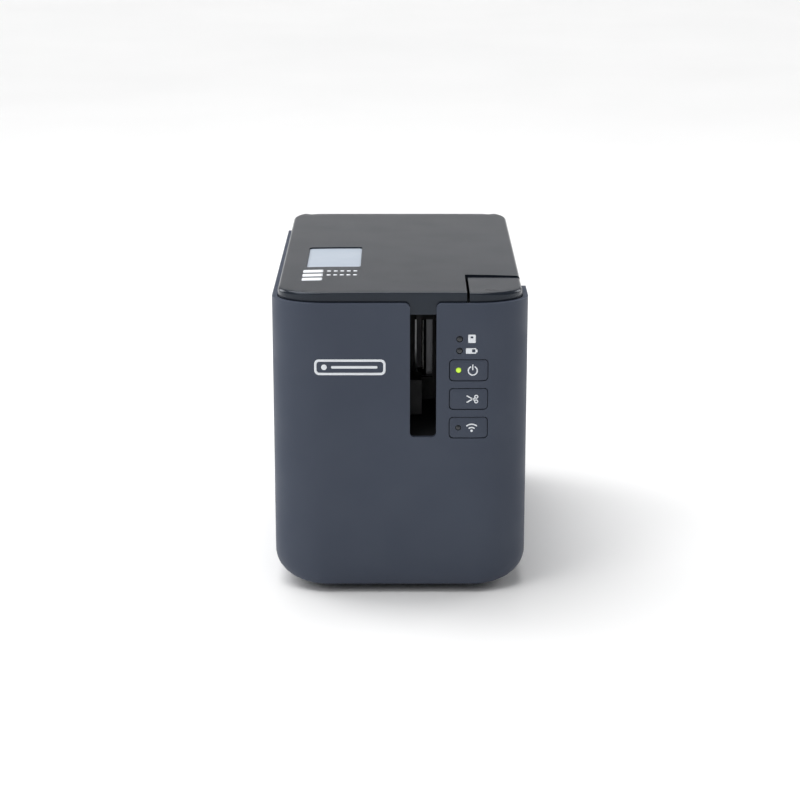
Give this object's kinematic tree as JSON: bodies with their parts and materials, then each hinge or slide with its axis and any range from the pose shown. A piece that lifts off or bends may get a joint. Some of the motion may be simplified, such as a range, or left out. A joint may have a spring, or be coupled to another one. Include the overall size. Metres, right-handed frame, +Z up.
{
  "type": "label maker",
  "caption": "Desktop label printer with a lift-up lid, release button, front label slot, three push buttons, tape cassette, roller feed and swinging cutter.",
  "frame": {"origin": "on the table, under the middle of the case", "axes": "+Z up, +Y towards the back, so the label slot and the buttons face -Y; +X to the right as seen from the front"},
  "size_m": [0.118, 0.192, 0.146],
  "materials": {
    "case_plastic": "fine matte texture, blue-grey",
    "lid_plastic": "satin gloss, near black",
    "window_plastic": "clear pane with a pale tint",
    "black_plastic": "matte black moulding",
    "gear_plastic": "natural acetal",
    "cassette_plastic": "light grey moulding",
    "tape_paper": "coated white label stock",
    "ribbon_film": "black ribbon film",
    "rubber": "matte black",
    "steel": "bright steel",
    "brass": "machined",
    "aluminium": "as extruded",
    "ceramic": "glazed",
    "circuit_board": "green solder mask",
    "lit_lamp": "lit yellow-green lens",
    "clear_lamp": "unlit smoky lens",
    "battery_wrap": "dark wrapped pack"
  },
  "bodies": {
    "case": {"front_cover": "case_plastic", "left_side_cover": "case_plastic", "right_side_cover": "case_plastic", "rear_panel": "case_plastic", "base_plate": "case_plastic", "battery_cover": "black_plastic", "foot_1": "rubber", "foot_2": "rubber", "foot_3": "rubber", "foot_4": "rubber", "chassis": "black_plastic", "bay_frame": "black_plastic", "hinge_pin_left": "steel", "hinge_pin_right": "steel", "tape_lens": "clear_lamp", "battery_lens": "clear_lamp", "control_board": "circuit_board", "main_board": "circuit_board", "usb_socket": "steel", "dc_inlet": "black_plastic", "battery_pack": "battery_wrap", "feed_motor": "steel", "drive_gear_pin": "steel", "ribbon_spindle_pin": "steel", "arm_pivot_pin": "steel", "head_bracket": "aluminium", "thermal_head": "ceramic", "cutter_frame": "steel", "fixed_blade": "steel", "blade_pivot_pin": "steel", "cam_gear_pin": "steel", "cutter_motor": "steel", "exit_guide": "black_plastic", "cassette_case": "cassette_plastic", "label_tape": "tape_paper", "release_spring": "steel"},
    "lid_group": {"lid": "lid_plastic", "lid_window": "window_plastic", "lid_liner": "black_plastic", "lid_catch": "black_plastic"},
    "release": {"release_button": "lid_plastic"},
    "latch": {"latch_lever": "black_plastic"},
    "power_key": {"power_button": "case_plastic", "power_lens": "lit_lamp"},
    "cutter_key": {"cutter_button": "case_plastic"},
    "wireless_key": {"wireless_button": "case_plastic", "wireless_lens": "clear_lamp"},
    "arm": {"platen_arm": "black_plastic"},
    "platen": {"platen_shaft": "steel", "platen_roller": "rubber", "platen_gear": "gear_plastic"},
    "drive": {"drive_gear": "gear_plastic"},
    "pinion": {"feed_pinion": "brass"},
    "ribbon": {"ribbon_spindle": "gear_plastic", "ribbon_spool": "ribbon_film"},
    "reel": {"tape_reel": "tape_paper"},
    "cam": {"cam_gear": "gear_plastic"},
    "blade": {"moving_blade": "steel"},
    "cut_pinion": {"cutter_pinion": "brass"}
  },
  "joints": [
    {"name": "lid_hinge", "type": "hinge", "parent": "case", "child": "lid_group", "pos_m": [0, 0.0857, 0.1385], "axis": [-1, 0, 0], "range_deg": [0, 95]},
    {"name": "release_press", "type": "slide", "parent": "case", "child": "release", "axis": [0, 0, -1], "range_m": [0, 0.0025], "stiffness_N_per_m": 600, "springref_m": -0.0015, "deforming": ["release_spring"]},
    {"name": "latch_rock", "type": "hinge", "parent": "case", "child": "latch", "pos_m": [0.034, -0.076, 0.1327], "axis": [-1, 0, 0], "range_deg": [0, 21]},
    {"name": "power_press", "type": "slide", "parent": "case", "child": "power_key", "axis": [0, 1, 0], "range_m": [0, 0.0008], "stiffness_N_per_m": 1500, "springref_m": -0.0006},
    {"name": "cutter_press", "type": "slide", "parent": "case", "child": "cutter_key", "axis": [0, 1, 0], "range_m": [0, 0.0008], "stiffness_N_per_m": 1500, "springref_m": -0.0006},
    {"name": "wireless_press", "type": "slide", "parent": "case", "child": "wireless_key", "axis": [0, 1, 0], "range_m": [0, 0.0008], "stiffness_N_per_m": 1500, "springref_m": -0.0006},
    {"name": "arm_swing", "type": "hinge", "parent": "case", "child": "arm", "pos_m": [0.0205, -0.002, 0.11], "axis": [0, 0, 1], "range_deg": [0, 7]},
    {"name": "drive_spin", "type": "hinge", "parent": "case", "child": "drive", "pos_m": [0.0015, -0.036, 0.085], "axis": [0, 0, 1], "continuous": true},
    {"name": "pinion_spin", "type": "hinge", "parent": "case", "child": "pinion", "pos_m": [0.0015, -0.014, 0.082], "axis": [0, 0, 1], "continuous": true},
    {"name": "ribbon_spin", "type": "hinge", "parent": "case", "child": "ribbon", "pos_m": [-0.01935, -0.02628, 0.1], "axis": [0, 0, 1], "continuous": true},
    {"name": "platen_spin", "type": "hinge", "parent": "arm", "child": "platen", "pos_m": [0.0165, -0.036, 0.11], "axis": [0, 0, 1], "continuous": true},
    {"name": "reel_spin", "type": "hinge", "parent": "case", "child": "reel", "pos_m": [-0.024, 0.006, 0.11], "axis": [0, 0, 1], "continuous": true},
    {"name": "cam_turn", "type": "hinge", "parent": "case", "child": "cam", "pos_m": [-0.013, -0.05475, 0.0858], "axis": [0, -1, 0], "range_deg": [0, 90]},
    {"name": "blade_swing", "type": "hinge", "parent": "case", "child": "blade", "pos_m": [0.0125, -0.05675, 0.0858], "axis": [0, 1, 0], "range_deg": [0, 20.4]},
    {"name": "cutter_pinion_turn", "type": "hinge", "parent": "case", "child": "cut_pinion", "pos_m": [-0.013, -0.05475, 0.0678], "axis": [0, -1, 0], "range_deg": [-180, 0]}
  ],
  "couplings": [
    {"joint": "latch_rock", "follows": "release_press", "rad_per_m": 146.61},
    {"joint": "arm_swing", "follows": "lid_hinge", "ratio": 0.07367},
    {"joint": "pinion_spin", "follows": "drive_spin", "ratio": -2.6667},
    {"joint": "ribbon_spin", "follows": "drive_spin", "ratio": -0.64286},
    {"joint": "platen_spin", "follows": "drive_spin", "ratio": -1.5},
    {"joint": "reel_spin", "follows": "drive_spin", "ratio": 0.395},
    {"joint": "blade_swing", "follows": "cam_turn", "ratio": 0.22666},
    {"joint": "cutter_pinion_turn", "follows": "cam_turn", "ratio": -2}
  ]
}
